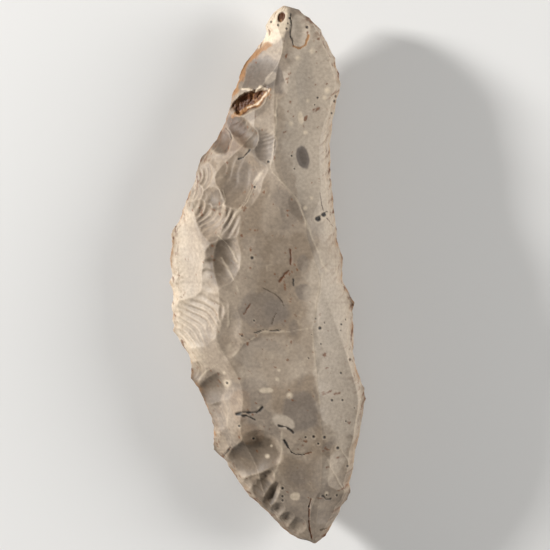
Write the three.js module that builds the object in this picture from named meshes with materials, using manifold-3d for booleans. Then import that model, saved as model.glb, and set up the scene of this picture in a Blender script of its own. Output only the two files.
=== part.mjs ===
// A chipped flint axe-head, lying on its back face with its worked face up.
// +Y runs to the narrow end, +X to the straighter margin, +Z up. Millimetres.
//
// It is made as the knapper made it: a thick blank with two faces that meet in a
// rim, an outline of small bites, then one flake after another struck off each face.

import * as THREE from "three";
import { mergeVertices } from "three/addons/utils/BufferGeometryUtils.js";
import Module from "manifold-3d";

// Driving dimensions
const LENGTH = 200;
const WIDTH = 73.2;
const THICKNESS = 34;
const RIM = 0.5; // half of the thickness left where the two faces meet
const BEVEL_SLOPE = 0.82; // rise of the bevel along the curved margin
const REST_CUT = 2.2; // how deep the flat rest face is cut into the rounded back
const POCKET_DEPTH = 4.2; // the natural hollow near the narrow end
const RIPPLE_HEIGHT = 1; // multiplies the ripple heights of the flake scars

// The tables below are drawn on a stone of this size and stretched to the one above.
const DRAWN = { length: 199.8, width: 73.2, thickness: 34 };
const STRETCH = {
  x: WIDTH / DRAWN.width,
  y: LENGTH / DRAWN.length,
  z: THICKNESS / DRAWN.thickness,
};

// How finely the faces are cut
const ROWS = 24;
const SPOKES = 12;
const RINGS = 2;
const RIPPLE_COLUMNS = 4;
const RIPPLE_FRONT = 0.3; // the steep share of a ripple, on the side of the strike point
const BOW_STEPS = 2;

const CLEAR = 12; // how far a cutter stands out past the stone
const LIFT = 0.12; // a flake's rim starts this far outside the face it cuts
const RIM_GUARD = 1.6; // flakes thin out over this distance from the margin

// The margins from the narrow end down: [y, x, bow]. The bow is how far a bite or a
// bulge moves the margin sideways before the next point.
const LEFT_MARGIN = [
  [99.9, 6.1, 0], [98.4, 3.9, -0.3], [95.4, 1.3, 0], [92.5, -0.3, 0.3],
  [88.5, -0.6, 0.3], [85, -3.2, 0.4], [79, -8, -0.3], [73, -10.3, 0.3],
  [68.6, -12.1, -0.2], [61.2, -14, 0.3], [54, -16.9, 0.5], [45, -22.8, -0.6],
  [42, -24.8, -0.3], [37.4, -26.2, 0.3], [30, -29.2, 0.3], [24, -31.5, 0.2],
  [19.5, -33.1, -0.3], [15, -35.7, 0.3], [6, -35.9, -0.3], [0.2, -35.4, 0.4],
  [-3, -36.5, 0], [-6.5, -34.8, 0.3], [-11.5, -35.6, 0.3], [-17, -35.1, 0.3],
  [-21, -34.8, 0.3], [-26.5, -31.2, 0.5], [-32.5, -28.5, 0.3], [-38.5, -28.1, 0.2],
  [-41.5, -26.2, 0.5], [-47.5, -23.3, 0.3], [-54, -20.3, 0.5], [-65, -19.9, 0],
  [-68, -16.6, 0.4], [-71.2, -14.3, 0.3], [-77, -10.6, 0.3], [-82.5, -6.4, 0.4],
  [-86, -2.2, 0.3], [-93.5, 5, 0.4], [-96.5, 8.4, 0.2], [-98.3, 12, -0.1],
  [-98.9, 15.3, 0.1], [-99.9, 17.3, 0],
];
const RIGHT_MARGIN = [
  [99.9, 6.8, 0], [98.4, 12.2, 0.6], [95.4, 15.9, 0.3], [91, 20.2, 0.4],
  [86.5, 22.4, 0.4], [80.5, 25.5, 0.5], [74.5, 27, 0.2], [70.8, 27.4, -0.3],
  [64.9, 25.9, -0.2], [57.5, 24.4, -0.2], [48.5, 23.3, -0.1], [36.7, 23.6, -0.1],
  [24, 24.8, -0.3], [13.6, 25.9, 0.1], [6.1, 28.1, 0.1], [-2.8, 28.2, 0],
  [-7.3, 30.8, 0.1], [-10.4, 32.6, 0], [-13.2, 31.8, -0.1], [-23.6, 32.2, -0.2],
  [-28.1, 31.8, -0.1], [-32.6, 32.6, 0.2], [-38.5, 34.8, 0.3], [-42.2, 36.3, 0.2],
  [-46, 36.7, 0.2], [-52.3, 35.6, 0.2], [-60.1, 34.5, 0.2], [-67, 32.6, -0.3],
  [-77.2, 30.7, -0.1], [-80.9, 31.1, 0.2], [-83.5, 30, 0], [-86.1, 27.7, -0.3],
  [-91.3, 25.1, 0.1], [-95, 23.2, 0.3], [-97.2, 21.8, 0.2], [-98.6, 20, 0.1],
  [-99.9, 18.2, 0],
];

// Sections of the blank from the narrow end down: y, the smooth margins, the height
// of the rim at each margin, the crest, how the front falls away from it, how far it
// bulges over the rim, and how far the back's lowest line rises from its deepest.
const SECTIONS = [
  [102.5, 6.5, 8.5, 16, 16, 7.5, 17, 0.3, 0.3, 1, 16.6],
  [95, 0.6, 16.8, 16, 16.2, 7.5, 21, 0.3, 0.25, 5, 12.6],
  [85, -3.8, 23.8, 16.2, 16.8, 6, 24.3, 0.22, 0.16, 9, 8.2],
  [70, -12.3, 27.7, 16.6, 17.6, 2.8, 27.5, 0.28, 0.16, 12.5, 4.6],
  [55, -17, 24.8, 17, 18.4, 2.8, 30, 0.38, 0.2, 15, 2.5],
  [38, -26.5, 24, 17, 19.4, 3.4, 32.2, 0.34, 0.2, 17, 1],
  [27, -30.9, 25, 16.6, 20, 11, 33.4, 0.14, 0.3, 18, 0.5],
  [12, -36.2, 26.6, 16.4, 20.4, 17.8, 34, 0.07, 0.42, 18.5, 0],
  [-1, -36.8, 29.2, 16.6, 20.4, 20, 34, 0.05, 0.46, 18.5, 0],
  [-20, -35.6, 32.6, 17, 20.2, 17.2, 33.6, 0.05, 0.42, 18.5, 0],
  [-36, -29, 34.8, 17.4, 19.8, 18.4, 33, 0.05, 0.4, 18, 0.3],
  [-48, -23.8, 37, 17.6, 19.4, 19.4, 32, 0.06, 0.4, 17.5, 0.7],
  [-62, -20.3, 34.9, 17.4, 18.6, 20.5, 29.8, 0.07, 0.42, 16.5, 2],
  [-78, -10.6, 31.5, 17, 18, 20, 26.8, 0.1, 0.5, 13, 5.2],
  [-90, 0.4, 26.6, 16.6, 17.2, 18.5, 23.6, 0.16, 0.55, 8.5, 9.6],
  [-102.5, 15.6, 18.8, 16.4, 16.4, 17.8, 17.4, 0.3, 0.6, 1, 16.6],
];
const COLUMN = {
  leftMargin: 1,
  rightMargin: 2,
  leftRim: 3,
  rightRim: 4,
  crestX: 5,
  crestZ: 6,
  leftFall: 7,
  rightFall: 8,
  bulge: 9,
  keelRise: 10,
};

// Flakes struck off the front, in groups from the narrow end down:
// [strike x, strike y, direction, length, width, depth, flare, skew, ripple, wave].
// A scar runs from its strike point in that direction, in degrees from +X. Flare
// widens its far end, skew deepens it. Ripples stand on rings round the strike point.
const FRONT_FLAKES = [
  [-10.5, 72, 8, 19.5, 18, 2, 0.3, 0.2],
  [-13.6, 59.8, 31, 17, 8, POCKET_DEPTH, 0, 0],
  [-15.8, 57.4, -12, 7.5, 8, 1, 0.2, 0.5],
  [-14.4, 59.5, -52, 16.5, 9.6, 1.7, 0.2, 0.6],
  [-20.6, 51.2, -20, 7.8, 10, 1.5, 0.2, 0.7],
  [-1.6, 54.2, -83, 13.6, 8.2, 1.2, 0.1, 0.4],
  [-22, 41, -30, 22, 22, 2.4, 0.5, 0.3],
  [-26.6, 37, -12, 9, 10.5, 1.6, 0.2, 0.3],
  [-29.8, 31, 0, 7.5, 7, 1, 0.1, 0],
  [-25.2, 29.5, -14, 9.8, 9.4, 2.1, 0.2, 0.4],
  [-27.5, 27.5, -42, 22, 14.5, 2.4, 0.8, 0.2, 0.35, 3.6],
  [-37.8, 5, 6, 15, 34, 2.6, 0.2, 0.2],
  [-23.6, -7.6, 62, 24.5, 14.5, 2.9, 0.3, 0.3, 0.35, 4.4],
  [-35, -27.5, 49, 27, 19, 2.6, 0.5, 0.1, 0.45, 3.2],
  [-13.2, -11.5, -95, 20, 9.5, 1.2, 0.2, 0],
  [-29.6, -36, 0, 7, 7.5, 1.3, 0.1, 0],
  [-25.8, -47, 36, 14.5, 11.5, 2.2, 0.3, 0],
  [-23.6, -52, -8, 9, 14, 1.6, 0.2, 0],
  [-21.4, -62, 0, 8, 8, 1, 0.2, 0],
  [-14.5, -74, 36, 23, 15.5, 2.8, 0.5, 0.2],
  [-9.5, -79, 32, 10, 6, 1.2, 0.3, 0.2],
  [-5.6, -83, 55, 13, 7, 1.6, 0.2, 0.3],
  [-1.6, -87, 60, 12, 5, 1.4, 0.2, 0.3],
  [1.6, -90, 50, 7, 5, 1, 0.2, 0],
  [4.8, -93.5, 48, 7, 5.4, 1, 0.2, 0],
  [9, -97.2, 62, 8, 6, 1, 0.2, 0],
  [12, 98.6, -88, 15.4, 6.6, 0.6, 0.1, 0.6],
  [28, 70, 184, 18, 25, 1.1, 0.2, 0],
  [26, 40, 190, 21, 40, 1.3, 0.3, 0],
  [11.4, 27.4, -57, 25, 6.5, 0.7, 0.4, 0.2],
  [21.6, 18.6, -66, 27, 6, 0.9, 0.2, 0],
  [33, -14, 182, 15, 30, 0.9, 0.2, 0],
  [37.6, -42, 176, 19, 34, 1.2, 0.2, 0],
  [34.4, -71, 168, 12, 22, 1.4, 0.2, 0],
  [30.4, -88.5, 158, 15, 15, 1.4, 0.2, 0],
  [20, -33.6, 180, 34, 25, 0.8, 0.2, 0.2],
  [-9, 18, 0, 30, 28, 0.8, 0.2, 0.3],
  [16, -58, -95, 34, 18, 0.9, 0.2, 0],
];

// Flakes struck off the back, which the photograph doesn't show: from the left
// margin, from the right margin, and from the two ends.
const BACK_FLAKES = [
  [-8, 84, -30, 20, 16, 1.9, 0.3, 0.1],
  [-13.5, 68, -10, 20, 17, 2.2, 0.4, 0.2],
  [-18, 52, 4, 22, 18, 2.4, 0.3, 0.2],
  [-26.5, 37, -12, 24, 17, 2.6, 0.4, 0.1],
  [-33, 21, 6, 27, 19, 3, 0.4, 0.2],
  [-37, 3, -6, 26, 20, 3, 0.3, 0.1],
  [-35.6, -14, 8, 24, 18, 2.6, 0.4, 0.2],
  [-31, -29, 20, 24, 16, 2.6, 0.4, 0.1],
  [-24, -46, 12, 22, 18, 2.4, 0.3, 0.2],
  [-20, -62, 24, 22, 16, 2.2, 0.3, 0.2],
  [-9, -80, 40, 20, 14, 2, 0.3, 0.1],
  [4, -93, 62, 16, 12, 1.6, 0.3, 0],
  [23, 85, 200, 20, 16, 1.9, 0.3, 0.1],
  [27, 70, 184, 20, 15, 2.1, 0.3, 0.1],
  [25, 53, 176, 20, 19, 2.4, 0.4, 0.2],
  [24, 34, 186, 19, 18, 2.2, 0.3, 0.1],
  [26, 16, 174, 21, 18, 2.6, 0.4, 0.2],
  [29.4, -2, 188, 22, 18, 2.6, 0.4, 0.1],
  [33, -20, 176, 23, 19, 2.8, 0.4, 0.2],
  [35.6, -38, 170, 24, 17, 2.7, 0.3, 0.2],
  [36, -54, 182, 24, 17, 2.5, 0.4, 0.1],
  [32.6, -70, 164, 22, 16, 2.3, 0.4, 0.2],
  [28.4, -86, 150, 20, 14, 1.9, 0.3, 0.1],
  [8, 99, -84, 22, 15, 1.8, 0.4, 0.1],
  [-25.5, 41, -34, 9, 8, 1.2, 0.2, 0],
  [-36.5, -4, -26, 10, 9, 1.3, 0.2, 0],
  [34.6, -45, 196, 11, 9, 1.3, 0.2, 0],
  [25, 26, 168, 10, 8, 1.2, 0.2, 0],
];

const FLINT_COLOUR = 0xa59a8c;

const wasm = await Module();
wasm.setup();

// A smooth curve through one column of the sections, read at height y.
function section(column, y) {
  const last = SECTIONS.length - 1;
  let i = 0;
  while (i < last - 1 && y < SECTIONS[i + 1][0]) i += 1;
  const slope = (k) => {
    const a = SECTIONS[Math.max(k - 1, 0)];
    const b = SECTIONS[Math.min(k + 1, last)];
    return (b[column] - a[column]) / (b[0] - a[0]);
  };
  const from = SECTIONS[i];
  const to = SECTIONS[i + 1];
  const step = to[0] - from[0];
  const t = THREE.MathUtils.clamp((y - from[0]) / step, 0, 1);
  const s = 1 - t;
  const start = (1 + 2 * t) * s * s * from[column] + t * s * s * step * slope(i);
  return start + t * t * (3 - 2 * t) * to[column] - t * t * s * step * slope(i + 1);
}

// The margins and rim heights at height y. The rim weaves up and down a little,
// because flakes were struck from it to either side in turn.
function edgesAt(y) {
  return {
    left: section(COLUMN.leftMargin, y),
    right: section(COLUMN.rightMargin, y),
    leftRim: section(COLUMN.leftRim, y) + 0.9 * Math.sin(0.21 * y + 0.6),
    rightRim: section(COLUMN.rightRim, y) + 0.8 * Math.sin(0.18 * y + 2),
  };
}

// Where a point lies between the margins: -1 on the left one, 1 on the right one.
function acrossAt(x, y) {
  const edge = edgesAt(y);
  const half = (edge.right - edge.left) / 2;
  const across = THREE.MathUtils.clamp((x - edge.left) / half - 1, -1, 1);
  const rim = edge.leftRim + ((edge.rightRim - edge.leftRim) * (across + 1)) / 2;
  return { edge, across, rim, inside: Math.min(x - edge.left, edge.right - x) };
}

// The front before any flake: a crest, a fall to each side of it, a bevel along the
// left margin and a rounded shoulder down to the rim.
function frontAt(x, y) {
  const { edge, across, rim } = acrossAt(x, y);
  const shoulder = Math.pow(1 - Math.pow(Math.abs(across), 2.6), 0.7);
  const crestX = section(COLUMN.crestX, y);
  const fall =
    section(COLUMN.leftFall, y) * Math.max(crestX - x, 0) +
    section(COLUMN.rightFall, y) * Math.max(x - crestX, 0);
  return Math.min(
    rim + RIM + section(COLUMN.bulge, y) * shoulder,
    section(COLUMN.crestZ, y) - fall,
    edge.leftRim + RIM + BEVEL_SLOPE * Math.max(x - edge.left, 0),
  );
}

// The back before any flake: one rounded face, a little deeper than the rest face.
function backAt(x, y) {
  const { across, rim } = acrossAt(x, y);
  const shoulder = Math.pow(1 - Math.pow(Math.abs(across), 2.2), 0.8);
  const keel = section(COLUMN.keelRise, y) - REST_CUT;
  return rim - RIM + (keel - rim + RIM) * shoulder;
}

// A closed solid from vertices and triangles.
function solid(vertices, triangles) {
  const mesh = new wasm.Mesh({
    numProp: 3,
    vertProperties: new Float32Array(vertices.flat()),
    triVerts: new Uint32Array(triangles.flat()),
  });
  return new wasm.Manifold(mesh);
}

function solidOf(geometry) {
  geometry.deleteAttribute("normal");
  geometry.deleteAttribute("uv");
  const merged = mergeVertices(geometry, 1e-4);
  const mesh = new wasm.Mesh({
    numProp: 3,
    vertProperties: merged.attributes.position.array,
    triVerts: new Uint32Array(merged.index.array),
  });
  return new wasm.Manifold(mesh);
}

// The section points at height y, from margin to margin. They crowd to the margins
// and keep one point on the crest and one at the top of the bevel.
function sectionColumns(y) {
  const { left, right, leftRim } = edgesAt(y);
  const crestX = THREE.MathUtils.clamp(section(COLUMN.crestX, y), left + 1, right - 1);
  const crestZ = section(COLUMN.crestZ, y);
  const fall = section(COLUMN.leftFall, y);
  const reach = (crestZ - fall * (crestX - left) - leftRim - RIM) / (BEVEL_SLOPE - fall);
  const bevelX = THREE.MathUtils.clamp(left + reach, left + 0.4, crestX - 0.4);
  const between = (a, b, shares) => shares.map((share) => a + (b - a) * share);
  return [
    ...between(left, bevelX, [0, 0.2, 0.6]),
    ...between(bevelX, crestX, [0, 0.33, 0.66]),
    ...between(crestX, right, [0, 0.3, 0.6, 0.82, 0.94, 1]),
  ];
}

// The blank: a loft through rows of sections, closed by a fan at each end.
function blank() {
  const top = SECTIONS[0][0];
  const bottom = SECTIONS[SECTIONS.length - 1][0];
  const vertices = [];
  const triangles = [];
  const rings = [];
  for (let row = 0; row <= ROWS; row += 1) {
    const y = top + ((bottom - top) * row) / ROWS;
    const columns = sectionColumns(y);
    const ring = [];
    for (const x of columns) ring.push(vertices.push([x, y, frontAt(x, y)]) - 1);
    for (const x of columns.slice().reverse()) {
      ring.push(vertices.push([x, y, backAt(x, y)]) - 1);
    }
    rings.push(ring);
  }
  const count = rings[0].length;
  for (let row = 0; row < ROWS; row += 1) {
    for (let k = 0; k < count; k += 1) {
      const next = (k + 1) % count;
      const a = rings[row][k];
      const b = rings[row][next];
      const c = rings[row + 1][next];
      const d = rings[row + 1][k];
      triangles.push([a, c, b], [a, d, c]);
    }
  }
  for (const [ring, y, facing] of [[rings[0], top, 1], [rings[ROWS], bottom, -1]]) {
    const { left, right, leftRim } = edgesAt(y);
    const hub = vertices.push([(left + right) / 2, y, leftRim]) - 1;
    for (let k = 0; k < count; k += 1) {
      const pair = [ring[k], ring[(k + 1) % count]];
      triangles.push(facing > 0 ? [hub, pair[0], pair[1]] : [hub, pair[1], pair[0]]);
    }
  }
  return solid(vertices, triangles);
}

// One margin as points, each bite or bulge as a parabola between its ends.
function marginPoints(margin, inward) {
  const points = [];
  for (let i = 0; i < margin.length - 1; i += 1) {
    const [y, x, bow] = margin[i];
    const [nextY, nextX] = margin[i + 1];
    const steps = bow === 0 ? 1 : BOW_STEPS;
    for (let k = 0; k < steps; k += 1) {
      const t = k / steps;
      const bite = inward * 4 * bow * t * (1 - t);
      points.push(new THREE.Vector2(x + (nextX - x) * t + bite, y + (nextY - y) * t));
    }
  }
  const [y, x] = margin[margin.length - 1];
  points.push(new THREE.Vector2(x, y));
  return points;
}

// Everything inside the outline, to trim the blank with.
function outlineSolid() {
  const left = marginPoints(LEFT_MARGIN, 1);
  const right = marginPoints(RIGHT_MARGIN, -1);
  const shape = new THREE.Shape([...left, ...right.reverse()]);
  const depth = DRAWN.thickness + 2 * CLEAR;
  const geometry = new THREE.ExtrudeGeometry(shape, { depth, bevelEnabled: false });
  geometry.translate(0, 0, -CLEAR);
  return solidOf(geometry);
}

// How deep a flake scar lies below the face at a point given along and across it.
function scarDepth(flake, along, aside) {
  const [, , , length, width, depth, flare, skew, ripple = 0, wave = 1] = flake;
  const t = along / length;
  const half = (width / 2) * (1 + flare * (t - 0.5));
  const body = Math.max(1 - (2 * t - 1) ** 2 - (aside / half) ** 2, 0);
  const hollow = depth * body * (1 + skew * (2 * t - 1));
  const turn = (Math.hypot(along, aside) / wave) % 1;
  const crest = turn < RIPPLE_FRONT ? turn / RIPPLE_FRONT : (1 - turn) / (1 - RIPPLE_FRONT);
  return hollow - RIPPLE_HEIGHT * ripple * (2 * crest - 1) * Math.min(2 * body, 1);
}

// Half the width of a scar, at a distance along it.
function scarHalfWidth(flake, along) {
  const [, , , length, width, , flare] = flake;
  const t = along / length;
  return (width / 2) * (1 + flare * (t - 0.5)) * Math.sqrt(Math.max(1 - (2 * t - 1) ** 2, 0));
}

// A plain scar's points: rings round its middle, as distances along and aside.
function plainScarRings(flake) {
  const length = flake[3];
  const rings = [];
  for (let r = 1; r <= RINGS; r += 1) {
    const share = r / RINGS;
    const ring = [];
    for (let k = 0; k < SPOKES; k += 1) {
      const turn = (2 * Math.PI * k) / SPOKES;
      const half = scarHalfWidth(flake, (length / 2) * (1 + Math.cos(turn)));
      const aside = share * half * Math.sign(Math.round(Math.sin(turn) * 1e6));
      ring.push([(length / 2) * (1 + share * Math.cos(turn)), aside]);
    }
    rings.push(ring);
  }
  return rings;
}

// A rippled scar's points: arcs round the strike point, two to each ripple.
function rippledScarArcs(flake) {
  const [, , , length, , , , , , wave] = flake;
  const arcs = [];
  for (let ripple = 0; ripple * wave < length; ripple += 1) {
    for (const turn of [0, RIPPLE_FRONT]) {
      const radius = (ripple + turn) * wave;
      if (radius < wave / 2 || radius > length - wave / 3) continue;
      let near = 0;
      let far = radius;
      for (let i = 0; i < 24; i += 1) {
        const aside = (near + far) / 2;
        const along = Math.sqrt(radius * radius - aside * aside);
        if (aside < scarHalfWidth(flake, along)) near = aside;
        else far = aside;
      }
      const arc = [];
      for (let k = 0; k <= RIPPLE_COLUMNS; k += 1) {
        const aside = near * ((2 * k) / RIPPLE_COLUMNS - 1);
        arc.push([Math.sqrt(radius * radius - aside * aside), aside]);
      }
      arcs.push(arc);
    }
  }
  return arcs;
}

// The floor of a plain scar, as triangles that face down, and its border.
function plainFloor(rings, add, length) {
  const ids = rings.map((ring) => ring.map(([along, aside]) => add(along, aside)));
  const hub = add(length / 2, 0);
  const triangles = [];
  for (let k = 0; k < SPOKES; k += 1) {
    const next = (k + 1) % SPOKES;
    triangles.push([hub, ids[0][next], ids[0][k]]);
    for (let r = 0; r < ids.length - 1; r += 1) {
      triangles.push([ids[r][k], ids[r][next], ids[r + 1][next]]);
      triangles.push([ids[r][k], ids[r + 1][next], ids[r + 1][k]]);
    }
  }
  return { triangles, border: ids[ids.length - 1] };
}

// The floor of a rippled scar, as triangles that face down, and its border.
function rippledFloor(arcs, add, length) {
  const start = add(0, 0);
  const ids = arcs.map((arc) => arc.map(([along, aside]) => add(along, aside)));
  const end = add(length, 0);
  const last = ids[ids.length - 1];
  const triangles = [];
  for (let k = 0; k < RIPPLE_COLUMNS; k += 1) {
    triangles.push([start, ids[0][k + 1], ids[0][k]]);
    triangles.push([end, last[k], last[k + 1]]);
    for (let r = 0; r < ids.length - 1; r += 1) {
      triangles.push([ids[r][k], ids[r + 1][k + 1], ids[r + 1][k]]);
      triangles.push([ids[r][k], ids[r][k + 1], ids[r + 1][k + 1]]);
    }
  }
  const oneSide = ids.map((row) => row[0]);
  const otherSide = ids.map((row) => row[RIPPLE_COLUMNS]).reverse();
  return { triangles, border: [start, ...oneSide, end, ...otherSide] };
}

// The mean place, in plan, of a few points.
function middleOf(points) {
  const mean = (axis) => points.reduce((sum, point) => sum + point[axis], 0) / points.length;
  return [mean(0), mean(1)];
}

// What comes away with one flake: a solid from the scar's floor to well outside the
// stone. Side is 1 on the front and -1 on the back.
function flakeSolid(flake, faceAt, side) {
  const [strikeX, strikeY, direction, length, , , , , ripple = 0] = flake;
  const angle = THREE.MathUtils.degToRad(direction);
  const far = side > 0 ? DRAWN.thickness + CLEAR : -CLEAR;
  const vertices = [];
  const add = (along, aside) => {
    const x = strikeX + along * Math.cos(angle) - aside * Math.sin(angle);
    const y = strikeY + along * Math.sin(angle) + aside * Math.cos(angle);
    const guard = 1 - Math.exp(-Math.max(acrossAt(x, y).inside, 0) / RIM_GUARD);
    const cut = scarDepth(flake, along, aside) * guard - LIFT;
    return vertices.push([x, y, faceAt(x, y) - side * cut]) - 1;
  };
  const { triangles, border } =
    ripple > 0
      ? rippledFloor(rippledScarArcs(flake), add, length)
      : plainFloor(plainScarRings(flake), add, length);
  const rim = border.map((id) => vertices.push([vertices[id][0], vertices[id][1], far]) - 1);
  const lid = vertices.push([...middleOf(border.map((id) => vertices[id])), far]) - 1;
  for (let k = 0; k < border.length; k += 1) {
    const next = (k + 1) % border.length;
    triangles.push([border[k], border[next], rim[next]], [border[k], rim[next], rim[k]]);
    triangles.push([lid, rim[k], rim[next]]);
  }
  return solid(vertices, side > 0 ? triangles : triangles.map((t) => [...t].reverse()));
}

// Everything below the rest face.
function belowRest() {
  const geometry = new THREE.BoxGeometry(2 * DRAWN.width, 2 * DRAWN.length, CLEAR);
  geometry.translate(0, 0, -CLEAR / 2);
  return solidOf(geometry);
}

function knappedStone() {
  let stone = blank().intersect(outlineSolid());
  for (const flake of FRONT_FLAKES) stone = stone.subtract(flakeSolid(flake, frontAt, 1));
  for (const flake of BACK_FLAKES) stone = stone.subtract(flakeSolid(flake, backAt, -1));
  return stone.subtract(belowRest());
}

function geometryOf(shape) {
  const { vertProperties, triVerts } = shape.getMesh();
  const geometry = new THREE.BufferGeometry();
  geometry.setAttribute("position", new THREE.BufferAttribute(vertProperties, 3));
  geometry.setIndex(new THREE.BufferAttribute(triVerts, 1));
  geometry.scale(STRETCH.x, STRETCH.y, STRETCH.z);
  return geometry;
}

// The stone stands on z = 0 with the middle of its outline over the origin.
function flintAxe() {
  const geometry = geometryOf(knappedStone());
  geometry.computeBoundingBox();
  const middle = geometry.boundingBox.getCenter(new THREE.Vector3());
  geometry.translate(-middle.x, -middle.y, 0);
  geometry.computeVertexNormals();
  const material = new THREE.MeshStandardMaterial({
    color: FLINT_COLOUR,
    roughness: 0.55,
    metalness: 0,
  });
  const mesh = new THREE.Mesh(geometry, material);
  mesh.name = "flint_axe";
  return mesh;
}

const part = new THREE.Group();
part.add(flintAxe());

export default part;
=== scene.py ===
import math

import bpy
import numpy as np
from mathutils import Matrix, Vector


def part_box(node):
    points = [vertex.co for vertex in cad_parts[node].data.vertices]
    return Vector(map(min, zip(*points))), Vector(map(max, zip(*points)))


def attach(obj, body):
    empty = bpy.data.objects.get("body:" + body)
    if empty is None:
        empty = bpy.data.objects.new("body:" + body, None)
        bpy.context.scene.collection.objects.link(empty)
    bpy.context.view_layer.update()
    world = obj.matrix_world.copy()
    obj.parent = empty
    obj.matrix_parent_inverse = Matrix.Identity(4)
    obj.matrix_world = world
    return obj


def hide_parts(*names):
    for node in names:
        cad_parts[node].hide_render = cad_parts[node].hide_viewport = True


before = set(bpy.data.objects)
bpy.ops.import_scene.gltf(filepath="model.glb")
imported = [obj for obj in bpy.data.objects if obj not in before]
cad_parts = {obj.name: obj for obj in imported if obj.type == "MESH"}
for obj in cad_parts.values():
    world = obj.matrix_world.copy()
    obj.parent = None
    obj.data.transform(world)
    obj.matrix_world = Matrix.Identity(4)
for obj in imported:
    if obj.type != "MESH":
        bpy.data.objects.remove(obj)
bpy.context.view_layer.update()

# The stone is worked out in millimetres and set in the frame in metres.
MM = 0.001
DRAWN_LENGTH = 199.8
DRAWN_WIDTH = 73.2
DRAWN_THICKNESS = 34

# The mesh: rows along the stone, columns from margin to margin, crowded at the margins
ROWS = 560
COLUMNS = 210
CROWDING = 0.2
LEAST_SPACING = 0.1

# The blank: rim over and under the margin, shoulder shapes, waves of the two rims
RIM = 0.5
BEVEL_SLOPE = 0.82
REST_CUT = 2.2
FRONT_SHOULDER = (2.6, 0.7)
BACK_SHOULDER = (2.2, 0.8)
LEFT_WAVE = (0.9, 0.21, 0.6)
RIGHT_WAVE = (0.8, 0.18, 2)

# The flake scars
POCKET_DEPTH = 4.2
RIPPLE_FRONT = 0.3
RIM_GUARD = 1.6
BEND_SHARE = 0.09
MOST_BEND = 1.3
BEND_SIZE = 5.5
RING_BEND = 0.25
RING_BEND_SIZE = 9

# The knapped edge: width of its taper, half its thickness, jags and where they fade
EDGE_TAPER = 2.2
EDGE_ROUNDING = 0.6
EDGE_HALF = 0.4
LEFT_JAG = 0.4
RIGHT_JAG = 0.25
JAG_SIZE = 2.1
JAG_FADE = 3

# Fine roughness of each face: height, size, seed. It fades out near the margins.
FRONT_ROUGHNESS = [(0.1, 7, 5), (0.035, 1.8, 8)]
BACK_ROUGHNESS = [(0.08, 7, 15), (0.03, 1.8, 18)]
ROUGHNESS_FADE = 2
REST_HEIGHT = 0.03
LIFTED_HEIGHT = 0.05

# Table of random values that the noise is read from
LATTICE = 512
LATTICE_START = 200

# Camera: picture side, millimetres in a pixel, where the stone's middle lies, height, sensor
IMAGE_SIDE = 550
MM_PER_PIXEL = 0.372
STONE_MIDDLE_PIXEL = (267.5, 274.5)
CAMERA_HEIGHT = 1.3
SENSOR = 36

# Floor and lights
FLOOR_HALF = 3
FLOOR_DROP = 0.0002
FLOOR_COLOUR = (0.72, 0.71, 0.69, 1)
FLOOR_ROUGHNESS = 0.9
SKY_COLOUR = (1, 0.99, 0.97, 1)
SKY_STRENGTH = 0.14
LIGHTS_AIM = (0, 0, 0.02)
LAMPS = [
    ("key_left", (-1.2, 0.35, 0.42), 0.16, 30),
    ("rim_right", (1.1, 0.1, 0.5), 0.6, 14),
    ("top", (0, -0.2, 1.9), 1.2, 2),
]

# The margins from the narrow end down: height, distance across, bow of the next stretch
LEFT_MARGIN = [
    (99.9, 6.1, 0), (98.4, 3.9, -0.3), (95.4, 1.3, 0), (92.5, -0.3, 0.3),
    (88.5, -0.6, 0.3), (85, -3.2, 0.4), (79, -8, -0.3), (73, -10.3, 0.3),
    (68.6, -12.1, -0.2), (61.2, -14, 0.3), (54, -16.9, 0.5), (45, -22.8, -0.6),
    (42, -24.8, -0.3), (37.4, -26.2, 0.3), (30, -29.2, 0.3), (24, -31.5, 0.2),
    (19.5, -33.1, -0.3), (15, -35.7, 0.3), (6, -35.9, -0.3), (0.2, -35.4, 0.4),
    (-3, -36.5, 0), (-6.5, -34.8, 0.3), (-11.5, -35.6, 0.3), (-17, -35.1, 0.3),
    (-21, -34.8, 0.3), (-26.5, -31.2, 0.5), (-32.5, -28.5, 0.3), (-38.5, -28.1, 0.2),
    (-41.5, -26.2, 0.5), (-47.5, -23.3, 0.3), (-54, -20.3, 0.5), (-65, -19.9, 0),
    (-68, -16.6, 0.4), (-71.2, -14.3, 0.3), (-77, -10.6, 0.3), (-82.5, -6.4, 0.4),
    (-86, -2.2, 0.3), (-93.5, 5, 0.4), (-96.5, 8.4, 0.2), (-98.3, 12, -0.1),
    (-98.9, 15.3, 0.1), (-99.9, 17.3, 0),
]
RIGHT_MARGIN = [
    (99.9, 6.8, 0), (98.4, 12.2, 0.6), (95.4, 15.9, 0.3), (91, 20.2, 0.4),
    (86.5, 22.4, 0.4), (80.5, 25.5, 0.5), (74.5, 27, 0.2), (70.8, 27.4, -0.3),
    (64.9, 25.9, -0.2), (57.5, 24.4, -0.2), (48.5, 23.3, -0.1), (36.7, 23.6, -0.1),
    (24, 24.8, -0.3), (13.6, 25.9, 0.1), (6.1, 28.1, 0.1), (-2.8, 28.2, 0),
    (-7.3, 30.8, 0.1), (-10.4, 32.6, 0), (-13.2, 31.8, -0.1), (-23.6, 32.2, -0.2),
    (-28.1, 31.8, -0.1), (-32.6, 32.6, 0.2), (-38.5, 34.8, 0.3), (-42.2, 36.3, 0.2),
    (-46, 36.7, 0.2), (-52.3, 35.6, 0.2), (-60.1, 34.5, 0.2), (-67, 32.6, -0.3),
    (-77.2, 30.7, -0.1), (-80.9, 31.1, 0.2), (-83.5, 30, 0), (-86.1, 27.7, -0.3),
    (-91.3, 25.1, 0.1), (-95, 23.2, 0.3), (-97.2, 21.8, 0.2), (-98.6, 20, 0.1),
    (-99.9, 18.2, 0),
]

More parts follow.
